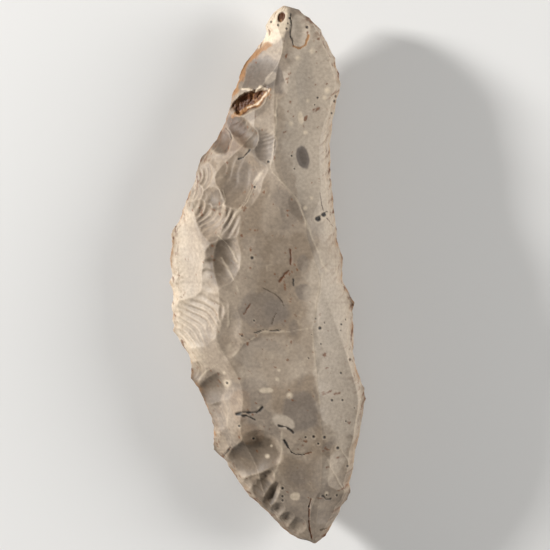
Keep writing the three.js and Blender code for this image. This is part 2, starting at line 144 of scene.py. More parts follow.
# Sections of the blank: y, margins, rim heights, crest place and height, how the front
# falls away left and right, bulge over the rim, rise of the back's lowest line
SECTIONS = np.array([
    (102.5, 6.5, 8.5, 16, 16, 7.5, 17, 0.3, 0.3, 1, 16.6),
    (95, 0.6, 16.8, 16, 16.2, 7.5, 21, 0.3, 0.25, 5, 12.6),
    (85, -3.8, 23.8, 16.2, 16.8, 6, 24.3, 0.22, 0.16, 9, 8.2),
    (70, -12.3, 27.7, 16.6, 17.6, 2.8, 27.5, 0.28, 0.16, 12.5, 4.6),
    (55, -17, 24.8, 17, 18.4, 2.8, 30, 0.38, 0.2, 15, 2.5),
    (38, -26.5, 24, 17, 19.4, 3.4, 32.2, 0.34, 0.2, 17, 1),
    (27, -30.9, 25, 16.6, 20, 11, 33.4, 0.14, 0.3, 18, 0.5),
    (12, -36.2, 26.6, 16.4, 20.4, 17.8, 34, 0.07, 0.42, 18.5, 0),
    (-1, -36.8, 29.2, 16.6, 20.4, 20, 34, 0.05, 0.46, 18.5, 0),
    (-20, -35.6, 32.6, 17, 20.2, 17.2, 33.6, 0.05, 0.42, 18.5, 0),
    (-36, -29, 34.8, 17.4, 19.8, 18.4, 33, 0.05, 0.4, 18, 0.3),
    (-48, -23.8, 37, 17.6, 19.4, 19.4, 32, 0.06, 0.4, 17.5, 0.7),
    (-62, -20.3, 34.9, 17.4, 18.6, 20.5, 29.8, 0.07, 0.42, 16.5, 2),
    (-78, -10.6, 31.5, 17, 18, 20, 26.8, 0.1, 0.5, 13, 5.2),
    (-90, 0.4, 26.6, 16.6, 17.2, 18.5, 23.6, 0.16, 0.55, 8.5, 9.6),
    (-102.5, 15.6, 18.8, 16.4, 16.4, 17.8, 17.4, 0.3, 0.6, 1, 16.6),
])[::-1]
(Y, LEFT, RIGHT, LEFT_RIM, RIGHT_RIM, CREST_X, CREST_Z, LEFT_FALL, RIGHT_FALL, BULGE,
 KEEL_RISE) = range(11)

# Flake scars: strike x, strike y, direction, length, width, depth, flare, skew,
# ripple height, ripple wave
FRONT_FLAKES = [
    (-10.5, 72, 8, 19.5, 18, 2, 0.3, 0.2, 0, 2),
    (-13.6, 59.8, 31, 17, 8, POCKET_DEPTH, 0, 0, 0, 2),
    (-15.8, 57.4, -12, 7.5, 8, 1, 0.2, 0.5, 0, 2),
    (-14.4, 59.5, -52, 16.5, 9.6, 1.7, 0.2, 0.6, 0.1, 1.8),
    (-20.6, 51.2, -20, 7.8, 10, 1.5, 0.2, 0.7, 0, 2),
    (-1.6, 54.2, -83, 13.6, 8.2, 1.2, 0.1, 0.4, 0.08, 1.5),
    (-22, 41, -30, 22, 22, 2.4, 0.5, 0.3, 0.08, 3.2),
    (-26.6, 37, -12, 9, 10.5, 1.6, 0.2, 0.3, 0.28, 1.7),
    (-29.8, 31, 0, 7.5, 7, 1, 0.1, 0, 0.2, 1.4),
    (-25.2, 29.5, -14, 9.8, 9.4, 2.1, 0.2, 0.4, 0.12, 2.4),
    (-27.5, 27.5, -42, 22, 14.5, 2.4, 0.8, 0.2, 0.3, 2.4),
    (-37.8, 5, 6, 15, 34, 2.6, 0.2, 0.2, 0.05, 1.6),
    (-23.6, -7.6, 62, 24.5, 14.5, 2.9, 0.3, 0.3, 0.26, 4.4),
    (-35, -27.5, 49, 27, 19, 2.6, 0.5, 0.1, 0.36, 2.3),
    (-13.2, -11.5, -95, 20, 9.5, 1.2, 0.2, 0, 0, 2),
    (-29.6, -36, 0, 7, 7.5, 1.3, 0.1, 0, 0.1, 1.3),
    (-25.8, -47, 36, 14.5, 11.5, 2.2, 0.3, 0, 0, 2),
    (-23.6, -52, -8, 9, 14, 1.6, 0.2, 0, 0, 2),
    (-21.4, -62, 0, 8, 8, 1, 0.2, 0, 0, 2),
    (-14.5, -74, 36, 23, 15.5, 2.8, 0.5, 0.2, 0, 2),
    (-9.5, -79, 32, 10, 6, 1.2, 0.3, 0.2, 0, 2),
    (-5.6, -83, 55, 13, 7, 1.6, 0.2, 0.3, 0.2, 2.4),
    (-1.6, -87, 60, 12, 5, 1.4, 0.2, 0.3, 0, 2),
    (1.6, -90, 50, 7, 5, 1, 0.2, 0, 0, 2),
    (4.8, -93.5, 48, 7, 5.4, 1, 0.2, 0, 0, 2),
    (9, -97.2, 62, 8, 6, 1, 0.2, 0, 0, 2),
    (12, 98.6, -88, 15.4, 6.6, 0.9, 0.1, 0.6, 0, 2),
    (28, 70, 184, 18, 25, 1.1, 0.2, 0, 0, 2),
    (26, 40, 190, 21, 40, 1.3, 0.3, 0, 0, 2),
    (11.4, 27.4, -57, 25, 6.5, 0.7, 0.4, 0.2, 0, 2),
    (21.6, 18.6, -66, 27, 6, 0.9, 0.2, 0, 0, 2),
    (33, -14, 182, 15, 30, 0.9, 0.2, 0, 0, 2),
    (37.6, -42, 176, 19, 34, 1.2, 0.2, 0, 0, 2),
    (34.4, -71, 168, 12, 22, 1.4, 0.2, 0, 0, 2),
    (30.4, -88.5, 158, 15, 15, 1.4, 0.2, 0, 0, 2),
    (20, -33.6, 180, 34, 25, 0.8, 0.2, 0.2, 0, 2),
    (-9, 18, 0, 30, 28, 0.8, 0.2, 0.3, 0, 2),
    (16, -58, -95, 34, 18, 0.9, 0.2, 0, 0, 2),
]
BACK_FLAKES = [
    (-8, 84, -30, 20, 16, 1.9, 0.3, 0.1, 0, 2),
    (-13.5, 68, -10, 20, 17, 2.2, 0.4, 0.2, 0.1, 2.6),
    (-18, 52, 4, 22, 18, 2.4, 0.3, 0.2, 0, 2),
    (-26.5, 37, -12, 24, 17, 2.6, 0.4, 0.1, 0.12, 2.8),
    (-33, 21, 6, 27, 19, 3, 0.4, 0.2, 0.26, 3.2),
    (-37, 3, -6, 26, 20, 3, 0.3, 0.1, 0, 2),
    (-35.6, -14, 8, 24, 18, 2.6, 0.4, 0.2, 0.16, 2.6),
    (-31, -29, 20, 24, 16, 2.6, 0.4, 0.1, 0, 2),
    (-24, -46, 12, 22, 18, 2.4, 0.3, 0.2, 0.12, 2.4),
    (-20, -62, 24, 22, 16, 2.2, 0.3, 0.2, 0, 2),
    (-9, -80, 40, 20, 14, 2, 0.3, 0.1, 0, 2),
    (4, -93, 62, 16, 12, 1.6, 0.3, 0, 0, 2),
    (23, 85, 200, 20, 16, 1.9, 0.3, 0.1, 0, 2),
    (27, 70, 184, 20, 15, 2.1, 0.3, 0.1, 0.1, 2.4),
    (25, 53, 176, 20, 19, 2.4, 0.4, 0.2, 0, 2),
    (24, 34, 186, 19, 18, 2.2, 0.3, 0.1, 0, 2),
    (26, 16, 174, 21, 18, 2.6, 0.4, 0.2, 0, 2),
    (29.4, -2, 188, 22, 18, 2.6, 0.4, 0.1, 0.22, 2.9),
    (33, -20, 176, 23, 19, 2.8, 0.4, 0.2, 0, 2),
    (35.6, -38, 170, 24, 17, 2.7, 0.3, 0.2, 0.12, 2.6),
    (36, -54, 182, 24, 17, 2.5, 0.4, 0.1, 0, 2),
    (32.6, -70, 164, 22, 16, 2.3, 0.4, 0.2, 0, 2),
    (28.4, -86, 150, 20, 14, 1.9, 0.3, 0.1, 0, 2),
    (8, 99, -84, 22, 15, 1.8, 0.4, 0.1, 0, 2),
    (-25.5, 41, -34, 9, 8, 1.2, 0.2, 0, 0, 2),
    (-36.5, -4, -26, 10, 9, 1.3, 0.2, 0, 0, 2),
    (34.6, -45, 196, 11, 9, 1.3, 0.2, 0, 0, 2),
    (25, 26, 168, 10, 8, 1.2, 0.2, 0, 0, 2),
]

# Colours, linear
FLINT = np.array((0.25, 0.19, 0.134))
PALE = np.array((0.44, 0.365, 0.285))
GREY = np.array((0.15, 0.122, 0.1))
DARK = np.array((0.07, 0.048, 0.03))
BLACK = np.array((0.012, 0.01, 0.008))
CREAM = np.array((0.58, 0.475, 0.35))
ORANGE = np.array((0.27, 0.13, 0.045))
RUST = np.array((0.1, 0.032, 0.008))

# Soft patches on the front: x, y, half width, half height, turn, colour, strength
PATCHES = [
    (2.5, 93, 6, 7.5, -20, CREAM, 0.9),
    (-0.5, 87.5, 3, 4, -30, CREAM, 0.8),
    (12.1, 90.4, 3.3, 6.6, 0, PALE, 0.9),
    (-2.5, 74, 8, 6.5, 20, GREY, 0.7),
    (4.5, 71, 3, 5, 0, GREY, 0.6),
    (10, 74, 8, 10, 0, GREY, 0.3),
    (1.3, 72.6, 1.5, 2.6, -40, PALE, 0.9),
    (7.4, 72, 1, 3.8, 24, PALE, 0.8),
    # The dark patches in the scoops of the upper left scars are partly darker flint, partly
    # painted shade on their shadowed walls.
    (-11, 55, 3.6, 4.5, 20, DARK, 0.75),
    (-6, 50.5, 4, 6, 30, DARK, 0.6),
    (-3.5, 72, 8, 6.5, 20, DARK, 0.4),
    (11, 24.5, 2.4, 6, 25, DARK, 0.35),
    (30.5, -21.2, 1.4, 10.6, 4, DARK, 0.4),
    (-6, 61, 9, 4, 30, DARK, 0.4),
    # Partly darker flint, partly painted shade in the scoop of this scar.
    (-17.2, 49, 3.4, 5, 0, DARK, 0.75),
    (-14, 52, 8, 7, -40, RUST, 0.25),
    (-1, 46.5, 4.4, 6.5, 0, GREY, 0.6),
    (-10, 32, 8, 9, -30, DARK, 0.22),
    (-18.5, 27.5, 3, 4.6, -20, DARK, 0.5),
    (-28.4, 25.2, 1.6, 1.9, 0, DARK, 0.8),
    (-17, 4.5, 6, 10.5, 8, DARK, 0.55),
    (-20.6, -42, 5, 7, 20, DARK, 0.6),
    (-4.5, -67.5, 9.5, 7, 20, DARK, 0.55),
    (-0.8, -81, 4, 6.5, 30, DARK, 0.8),
    (12.1, -50, 6.6, 8, 0, GREY, 0.65),
    (13.6, -6.2, 3, 3, 0, GREY, 0.6),
    (13.2, 4.3, 2, 3, 0, GREY, 0.5),
    (16.8, 1, 4, 4.6, 0, PALE, 0.4),
    (26, -32, 9, 34, 4, PALE, 0.8),
    (17, 62, 11, 34, 0, PALE, 0.75),
    (20, 33, 9, 20, 12, PALE, 0.8),
    (22, 2, 6, 20, -14, PALE, 0.6),
    (6, 8, 11, 22, -25, DARK, 0.22),
    (-1.5, -13, 10, 7, 0, GREY, 0.5),
    (2.5, -32, 14, 10, 0, PALE, 0.35),
    # A painted highlight on the steep left bevel.
    (-29, -6, 8, 26, 0, PALE, 0.5),
    (6.2, -54.2, 4.2, 2.5, -20, PALE, 0.85),
    (14, -80, 10, 12, 0, GREY, 0.25),
    (-10, -48, 4, 6, 0, ORANGE, 0.14),
    (-6, -59, 5, 4, 0, ORANGE, 0.12),
    (25, -70, 3, 8, -30, PALE, 0.5),
    (10.2, -82, 1.9, 1.5, 0, CREAM, 0.7),
    (0, -42.6, 2.6, 1.1, 0, CREAM, 0.6),
    (12.6, 57.6, 1.1, 2.3, 8, CREAM, 0.8),
    (13.4, 43.2, 2.3, 4, 14, GREY, 1),
    (13.4, 43.2, 1.3, 2.8, 14, DARK, 0.35),
    (18.8, 20.5, 1.1, 0.9, 0, BLACK, 1),
    (21, 22, 0.9, 0.7, 0, BLACK, 1),
]

# Pale beads and dark pits on the front: x, y, radius
BEADS = [
    (3.2, 58.6, 0.5), (9, 55.6, 0.95), (15.2, 64.2, 0.75), (21.4, 65.3, 0.95),
    (22.5, 68.1, 1.3), (14.3, 52.3, 0.9), (1.7, -63.2, 0.5), (0.2, -67.1, 0.9),
    (16.6, 28.1, 0.8), (14.1, 24.4, 0.9), (8.4, -44.5, 1.2), (-14.7, -40, 1.5),
    (-15.8, -36.3, 0.6), (3.9, -38.5, 0.8), (4.5, -35.2, 0.6), (-2.6, -49.3, 0.8),
    (-2.4, 69.2, 0.8), (22.1, -80.9, 0.8), (11.5, 80, 1), (16.8, 82.5, 1.1),
]
PITS = [
    (19.5, -19.7, 0.55), (18, -16.2, 0.25), (21.2, -17.7, 0.25), (27.5, -18.4, 0.35),
    (27.3, -20.6, 0.25), (29.1, -16.6, 0.25), (19.9, -25.5, 0.25), (16.6, -22.1, 0.2),
    (15.4, -30.7, 0.3), (30.7, -31.4, 0.45), (24, -46.3, 0.4), (27.9, -46.3, 0.35),
    (27.3, -36.3, 0.35), (29.2, -54.1, 0.25), (32.4, -49.3, 0.2), (8.4, 95, 0.4),
    (7.8, 93, 0.3), (8.7, 92.4, 0.3), (7.3, 91, 0.4), (14.9, 91.7, 0.5),
    (18.8, 65.3, 0.35), (17.7, 62.7, 0.25), (25.5, 66, 0.4), (25.1, 64.2, 0.5),
    (24, 59.7, 0.35), (0.6, 41.5, 0.4), (-4.5, 32.2, 0.4), (9.1, 43.7, 0.3),
    (10.2, 38.9, 0.3), (-5.4, 6.1, 0.5), (-9.1, -22.5, 0.35), (-4.7, -16.9, 0.3),
    (14.3, -59.9, 0.35), (17.3, -59.7, 0.45), (21.2, -59.9, 0.45), (19, -62.3, 0.35),
    (26.2, -64, 0.5), (5.8, -79, 0.45), (5.8, -82, 0.35), (5.8, -83.5, 0.35),
    (25.9, -81.7, 0.35), (22.1, -81.5, 0.3), (-10.2, -55.8, 0.4), (-5, -60.5, 0.4),
    (29.9, -70.9, 0.4), (19, 20.6, 0.8), (20.9, 22, 0.7), (-14.7, -40, 0.45),
    (1.6, 93.8, 0.4), (4.2, 92.4, 0.4), (15.6, -85.7, 0.35),
]

# Rust-lined hollows: x, y, half width, half height, turn, extra depth
HOLLOWS = [
    (-6.3, 64.2, 7.2, 3.4, 30, 0.9),
    (5.3, 95.2, 1.2, 2, -20, 0.5),
    (-35.6, 24.8, 0.9, 1.3, 0, 0.3),
]

# Painted highlights along the crests of ridges on the front, each with a small rise: half width,
# rise, points
CREST_HIGHLIGHTS = [
    (0.6, 0.12, [(2, 37.4), (7.6, 31.8), (11.7, 25.9), (13.6, 21.4), (16.2, 14.1), (21.8, 1.3)]),
    (0.5, 0.1, [(20.3, -0.2), (16.9, -20.6), (17.7, -29.2), (18.4, -35.9), (19.2, -47.1)]),
    (0.45, 0.15, [(-18, 14.3), (-14, 10.6), (-10.8, 4.7)]),
    (0.45, 0.15, [(-16.6, 5.8), (-13.2, 0.2), (-10.2, -7.3)]),
    (0.4, 0.12, [(-1.3, 38.5), (-4.7, 32.2), (-6.9, 26.6), (-12.1, 21)]),
    (0.35, 0.08, [(-2.3, 37.8), (-5.9, 31.4), (-8.2, 26), (-12.6, 21.6)]),
    (0.45, 0.1, [(3.9, 65.7), (3.5, 57.5), (2.4, 46.3), (1.7, 38.9)]),
    (0.4, 0.15, [(-15.8, 31.4), (-15, 27), (-16.5, 23.2)]),
    (0.4, 0.15, [(-25.5, -39.6), (-22.1, -35.9), (-18, -32.9)]),
    (0.4, 0.15, [(-14, -13.6), (-14, -19.2)]),
    (0.4, 0.1, [(5.4, -57.8), (5.4, -66.4), (2.4, -74.2)]),
    (0.4, 0.12, [(22.1, -68.6), (28.5, -79.8)]),
    (0.4, 0.12, [(27, -64.5), (30.9, -70.5)]),
    (0.35, 0.1, [(-12.5, -30), (-8.7, -25.5), (-2, -21.3), (8.4, -21), (16.6, -20)]),
]

# Cracks on the front: colour, half width, depth, points
CRACKS = [
    (RUST, 0.35, 0.3, [(4.7, -2.4), (6.2, -0.4), (8, 1.3)]),
    (RUST, 0.3, 0.3, [(8.5, 9.1), (8.8, 6.5), (8.7, 3.5)]),
    (BLACK, 0.25, 0.25, [(9.5, -1.7), (9.9, -3.9)]),
    (DARK, 0.18, 0.15, [(-1.3, -5), (3.2, -7.3), (5, -8.7), (6.5, -11.5)]),
    (DARK, 0.2, 0.2, [(3.5, -14.3), (2, -18)]),
    (BLACK, 0.2, 0.25, [(-4.8, -21.4), (-1.5, -20.4), (5, -20.7)]),
    (RUST, 0.3, 0.25, [(-8.5, -14.5), (-6, -11)]),
    (BLACK, 0.4, 0.4, [(-11.3, -51.5), (-8, -50.6), (-3.9, -50.8), (-1.8, -48.9)]),
    (BLACK, 0.28, 0.3, [(-11, -51.7), (-7.6, -52), (-4.3, -53.4)]),
    (BLACK, 0.35, 0.35, [(4.5, -55.6), (7.5, -56.4), (9.9, -58.2)]),
    (BLACK, 0.3, 0.35, [(6.7, -61.2), (8, -63.8), (9.5, -66), (11.3, -66.4), (14, -66.3)]),
    (RUST, 0.28, 0.25, [(14, -66.3), (16.6, -65.7)]),
    (BLACK, 0.3, 0.3, [(-16.6, -67.5), (-13.6, -64.2)]),
    (RUST, 0.26, 0.25, [(16.2, -83.1), (15.5, -87), (15.6, -92.1), (16.6, -98.4)]),
    (BLACK, 0.3, 0.3, [(20.3, -81.7), (21.9, -83), (23.6, -83.1)]),
    (DARK, 0.25, 0.2, [(20.3, -94.9), (22.1, -94.3)]),
    (BLACK, 0.3, 0.35, [(9.1, 96.5), (8.7, 89.1), (9.9, 84.6)]),
    (ORANGE, 0.4, 0.1, [(9.6, 84.6), (12.1, 83.6), (14.4, 85.2), (15.6, 88.6)]),
    (BLACK, 0.3, 0.2, [(18.6, 20.4), (21, 22.2), (22.4, 23.2)]),
    (DARK, 0.15, 0.15, [(21, 23.2), (20.1, 26.2), (19.9, 29.9)]),
    (DARK, 0.18, 0.15, [(22.1, 21), (24.4, 17.7)]),
    (ORANGE, 0.9, 0, [(1.3, 68.3), (-1.7, 65.3), (-3.9, 63), (-7.3, 61.9), (-12.8, 58.6)]),
    # Painted highlight along the pocket's lower rim, which also rises a little.
    (CREAM, 0.4, -0.4, [(1.3, 68.3), (-1.7, 65.3), (-3.9, 63), (-7.3, 61.9)]),
    (CREAM, 0.5, -0.3, [(-9, 68.5), (-4.3, 68), (-2.4, 69.2), (0.6, 68.5)]),
    (ORANGE, 1, 0, [(0.2, 85), (-7.5, 79), (-10.6, 72), (-12.4, 67)]),
    (BLACK, 0.25, 0.2, [(-6.3, 46), (-8.6, 43), (-10.4, 42.4)]),
    (DARK, 0.25, 0.2, [(-15.2, 54.5), (-13.2, 50.6), (-15, 46)]),
]

# Mottling of the flint: colour, size, layers, step of the seed, contrast, lift, strength
MOTTLES = [
    (PALE, 17, 4, 0, 5, 0.3, 0.3),
    (GREY, 12, 4, 20, 5, -0.4, 0.42),
    (CREAM, 2.6, 3, 30, 4, -1.5, 0.2),
]

# How far noise is sheared by the height, so that steep flanks aren't streaked
MOTTLE_SHEAR = (0.9, 0.8)
RUST_SHEAR = (1, 0.8)

# How strongly ridges get a painted highlight and hollows a painted shade
PAINTED_LIGHT_GAIN = 0.35
RIDGE_PAINTED_HIGHLIGHT = 0.22
HOLLOW_PAINTED_SHADE = 0.3

# The flat map: share of the side that the length fills, corner, place of back and wall
MAP_FILL = 0.97
MAP_CORNER = (0.01, 0.015)
MAP_BACK = 0.4
MAP_WALLS = (0.83, 0.91)
WALL_PARTING = 8


def soft_step(t):
    return t * t * (3 - 2 * t)


def grid_noise(x, y, size, seed):
    """Smooth noise between -1 and 1 with features about size millimetres across."""
    lattice = np.random.RandomState(seed).uniform(-1, 1, (LATTICE, LATTICE))
    gx, gy = x / size + LATTICE_START, y / size + LATTICE_START
    ix, iy = np.floor(gx).astype(int), np.floor(gy).astype(int)
    fx, fy = soft_step(gx - ix), soft_step(gy - iy)

    def corner(i, j):
        return lattice[(ix + i) % LATTICE, (iy + j) % LATTICE]

    low = corner(0, 0) * (1 - fx) + corner(1, 0) * fx
    high = corner(0, 1) * (1 - fx) + corner(1, 1) * fx
    return low * (1 - fy) + high * fy


def layered_noise(x, y, size, seed, layers=4):
    """Noise with finer and fainter layers added."""
    total = sum(grid_noise(x, y, size / 2 ** k, seed + k) / 2 ** k for k in range(layers))
    return total / (2 - 0.5 ** (layers - 1))


def bent(x, y, amount, size, seeds, layers=4):
    """The same places, moved a little, so that what is drawn there wanders."""
    return (
        x + amount * layered_noise(x, y, size, seeds[0], layers),
        y + amount * layered_noise(x, y, size, seeds[1], layers),
    )


def margin(points, inward, y):
    """The margin's distance across at height y."""
    table = np.array(points, float)[::-1]
    i = np.clip(np.searchsorted(table[:, 0], y) - 1, 0, len(table) - 2)
    t = np.clip((y - table[i, 0]) / (table[i + 1, 0] - table[i, 0]), 0, 1)
    across = table[i, 1] + t * (table[i + 1, 1] - table[i, 1])
    return across + inward * 4 * table[i + 1, 2] * t * (1 - t)


def section(column, y):
    """A smooth curve through one column of the sections, read at height y."""
    heights, values = SECTIONS[:, Y], SECTIONS[:, column]
    slopes = np.empty(len(values))
    slopes[1:-1] = (values[2:] - values[:-2]) / (heights[2:] - heights[:-2])
    slopes[0] = (values[1] - values[0]) / (heights[1] - heights[0])
    slopes[-1] = (values[-1] - values[-2]) / (heights[-1] - heights[-2])
    i = np.clip(np.searchsorted(heights, y) - 1, 0, len(heights) - 2)
    step = heights[i + 1] - heights[i]
    t = np.clip((y - heights[i]) / step, 0, 1)
    s = 1 - t
    start = (1 + 2 * t) * s * s * values[i] + t * s * s * step * slopes[i]
    return start + t * t * (3 - 2 * t) * values[i + 1] - t * t * s * step * slopes[i + 1]


def rim_wave(wave, y):
    height, pace, start = wave
    return height * np.sin(pace * y + start)


def across_at(x, y):
    """Left margin, its rim, place between the margins, rim here, distance inside."""
    left, right = section(LEFT, y), section(RIGHT, y)
    left_rim = section(LEFT_RIM, y) + rim_wave(LEFT_WAVE, y)
    right_rim = section(RIGHT_RIM, y) + rim_wave(RIGHT_WAVE, y)
    across = np.clip((x - left) / ((right - left) / 2) - 1, -1, 1)
    rim = left_rim + (right_rim - left_rim) * (across + 1) / 2
    return left, left_rim, across, rim, np.minimum(x - left, right - x)


def shoulder(across, shape):
    flatness, rounding = shape
    return (1 - np.abs(across) ** flatness) ** rounding


def front_at(x, y):
    """The blank's front: rounded over the rim, cut by the crest's slopes and the bevel."""
    left, left_rim, across, rim, _ = across_at(x, y)
    crest_x = section(CREST_X, y)
    fall = section(LEFT_FALL, y) * np.maximum(crest_x - x, 0)
    fall = fall + section(RIGHT_FALL, y) * np.maximum(x - crest_x, 0)
    rounded = rim + RIM + section(BULGE, y) * shoulder(across, FRONT_SHOULDER)
    bevel = left_rim + RIM + BEVEL_SLOPE * np.maximum(x - left, 0)
    return np.minimum(np.minimum(rounded, section(CREST_Z, y) - fall), bevel)


def back_at(x, y):
    """The blank's back, a keel that dips under the floor where the stone rests."""
    _, _, across, rim, _ = across_at(x, y)
    keel = section(KEEL_RISE, y) - REST_CUT
    return rim - RIM + (keel - rim + RIM) * shoulder(across, BACK_SHOULDER)


def ripples(along, aside, body, ripple, wave, x, y):
    """Rings round the strike point, steep on the near side and fading at the rim."""
    ring = np.hypot(along, aside) / wave + RING_BEND * grid_noise(x, y, RING_BEND_SIZE, 91)
    phase = ring % 1
    rising = phase / RIPPLE_FRONT
    falling = (1 - phase) / (1 - RIPPLE_FRONT)
    crest = soft_step(np.where(phase < RIPPLE_FRONT, rising, falling))
    strength = ripple * np.clip(0.75 + 0.6 * grid_noise(x, y, 6, 92), 0.1, 1.3)
    return strength * (2 * crest - 1) * np.minimum(2 * body, 1)


def flake_depth(flake, x, y):
    """How deep one flake scar lies, and where it is."""
    strike_x, strike_y, direction, length, width, depth, flare, skew, ripple, wave = flake
    turn = math.radians(direction)
    seed = int(abs(strike_x * 7 + strike_y * 3)) + 50
    bend = min(BEND_SHARE * width, MOST_BEND)
    x = x + bend * grid_noise(x, y, BEND_SIZE, seed)
    y = y + bend * grid_noise(x, y, BEND_SIZE, seed + 9)
    along = (x - strike_x) * math.cos(turn) + (y - strike_y) * math.sin(turn)
    aside = -(x - strike_x) * math.sin(turn) + (y - strike_y) * math.cos(turn)
    t = along / length
    half = width / 2 * (1 + flare * (t - 0.5))
    body = 1 - (2 * t - 1) ** 2 - (aside / half) ** 2
    on = body > 0
    body = np.maximum(body, 0)
    hollow = depth * body * (1 + skew * (2 * t - 1))
    if ripple:
        hollow = hollow - ripples(along, aside, body, ripple, wave, x, y)
    return hollow, on


def knapped(face, flakes, side, x, y):
    """The height of a face with its flakes struck off."""
    plain = face(x, y)
    height = plain.copy()
    inside = across_at(x, y)[4]
    guard = 1 - np.exp(-np.maximum(inside, 0) / RIM_GUARD)
    for flake in flakes:
        depth, on = flake_depth(flake, x, y)
        cut = plain - side * depth * guard
        deeper = np.minimum(height, cut) if side > 0 else np.maximum(height, cut)
        height = np.where(on, deeper, height)
    return height


def ellipse(x, y, cx, cy, half_x, half_y, turn, rough=0.25, seed=7):
    """1 inside a soft ellipse, 0 outside."""
    c, s = math.cos(math.radians(turn)), math.sin(math.radians(turn))
    a = ((x - cx) * c + (y - cy) * s) / half_x
    b = (-(x - cx) * s + (y - cy) * c) / half_y
    r = np.hypot(a, b) + rough * layered_noise(x, y, 3, seed)
    return soft_step(np.clip((1.12 - r) / 0.3, 0, 1))


def line_distance(x, y, points):
    """Distance to a polyline."""
    best = np.full(x.shape, 1e9)
    for (ax, ay), (bx, by) in zip(points, points[1:]):
        dx, dy = bx - ax, by - ay
        t = np.clip(((x - ax) * dx + (y - ay) * dy) / (dx * dx + dy * dy), 0, 1)
        best = np.minimum(best, np.hypot(x - ax - t * dx, y - ay - t * dy))
    return best


def mix(colour, other, amount):
    return colour + (other - colour) * amount[..., None]


def sheared(x, y, height, shear):
    return x + shear[0] * height, y + shear[1] * height


def mottled(x, y, seed):
    """The flint's own colour, before stains."""
    colour = np.broadcast_to(FLINT, x.shape + (3,)).copy()
    bent_x, bent_y = bent(x, y, 3, 8, (seed + 60, seed + 70))
    for tint, size, layers, step, contrast, lift, strength in MOTTLES:
        cloud = layered_noise(bent_x, bent_y, size, seed + step, layers)
        colour = mix(colour, tint, np.clip(cloud * contrast + lift, 0, 1) * strength)
    speckle = layered_noise(x, y, 0.9, seed + 40, 2)
    return colour * (1 + 0.1 * speckle[..., None])


def painted_light_mask(height, spacing_x, spacing_y):
    """Positive on ridges, negative in hollows, for the painted highlight and painted shade."""
    along_x = np.gradient(np.gradient(height, axis=1) / spacing_x, axis=1) / spacing_x
    along_y = np.gradient(np.gradient(height, axis=0) / spacing_y, axis=0) / spacing_y
    return np.clip(-(along_x + along_y) * PAINTED_LIGHT_GAIN, -1, 1)


# Painted highlight on ridges and painted shade in hollows, put into the colour.
def paint_ridge_highlight_and_hollow_shade(colour, painted_light):
    colour = mix(colour, CREAM, RIDGE_PAINTED_HIGHLIGHT * np.clip(painted_light, 0, 1))
    return mix(colour, DARK, HOLLOW_PAINTED_SHADE * np.clip(-painted_light, 0, 1))


def rust_on_margin(colour, x, y, inside, seed):
    """Orange staining and rust dots along the margins, and a few dots elsewhere."""
    stain = layered_noise(x, y, 2.2, seed)
    near = np.exp(-np.maximum(inside, 0) / 0.8)
    colour = mix(colour, ORANGE, np.clip(near * (0.3 + 1.7 * stain), 0, 0.85))
    dots = np.clip((layered_noise(x, y, 1.5, seed + 3, 3) - 0.3) * 7, 0, 1)
    near = np.exp(-np.maximum(inside - 0.4, 0) / 2)
    colour = mix(colour, RUST, dots * near)
    strays = np.clip((layered_noise(x, y, 1.9, seed + 9, 3) - 0.56) * 9, 0, 1)
    return mix(colour, RUST * 1.4, strays * 0.8)


def paint_patches_and_bevel_highlight(colour, x, y, inside):
    """Soft patches, and a painted highlight on the left-facing bevel along the curved margin."""
    for cx, cy, half_x, half_y, turn, tint, strength in PATCHES:
        colour = mix(colour, tint, strength * ellipse(x, y, cx, cy, half_x, half_y, turn))
    # Painted highlight: the bevel along the left margin made paler, as if lit from the left.
    near = np.clip((7 - inside) / 4, 0, 1)
    bevel = near * (x < 5) * np.clip((34 - np.abs(y + 4)) / 8, 0, 1)
    return mix(colour, CREAM, 0.6 * bevel)


def add_crest_highlights(colour, height, x, y):
    bent_x, bent_y = bent(x, y, 0.7, 4, (33, 43), 3)
    breaks = np.clip(0.7 + 0.8 * grid_noise(x, y, 3, 54), 0.2, 1.4)
    for half_width, rise, points in CREST_HIGHLIGHTS:
        r = line_distance(bent_x, bent_y, points) / (half_width * breaks)
        crest = np.exp(-r * r)
        # Painted highlight: cream along the crest.
        colour = mix(colour, CREAM, 0.4 * crest)
        height = height + rise * crest
    return colour, height


def add_hollows(colour, height, x, y):
    grain = layered_noise(x, y, 1.3, 61, 3)
    for cx, cy, half_x, half_y, turn, extra in HOLLOWS:
        hollow = ellipse(x, y, cx, cy, half_x, half_y, turn, 0.4)
        colour = mix(colour, RUST * 0.8, hollow)
        colour = mix(colour, ORANGE, hollow * np.clip(grain * 2.2 - 0.3, 0, 0.8))
        height = height - hollow * (extra + 0.9 * extra * grain)
    return colour, height


def add_beads(colour, height, x, y):
    for cx, cy, radius in BEADS:
        r = np.hypot(x - cx, y - cy) / radius
        colour = mix(colour, CREAM, 0.8 * np.clip(1.6 - 1.3 * r, 0, 1))
        height = height + 0.1 * radius * np.exp(-2 * r * r)
    return colour, height


def add_cracks(colour, height, x, y):
    bent_x, bent_y = bent(x, y, 0.55, 2.2, (33, 43), 3)
    breaks = np.clip(0.8 + 0.6 * grid_noise(x, y, 1.7, 53), 0.45, 1.3)
    for tint, half_width, depth, points in CRACKS:
        r = line_distance(bent_x, bent_y, points) / (half_width * breaks)
        colour = mix(colour, tint, np.clip(1.9 - 1.2 * r, 0, 1) * 0.95)
        height = height - depth * np.exp(-r * r)
    return colour, height


def add_pits(colour, height, x, y):
    """Dark pits, each with a faint pale ring."""
    for cx, cy, radius in PITS:
        r = np.hypot(x - cx, y - cy) / radius
        colour = mix(colour, CREAM, 0.35 * np.clip(1 - np.abs(r - 1.9) * 1.6, 0, 1))
        colour = mix(colour, BLACK, np.clip(2.1 - 1.5 * r, 0, 1))
        height = height - 0.7 * radius * np.exp(-r * r)
    return colour, height


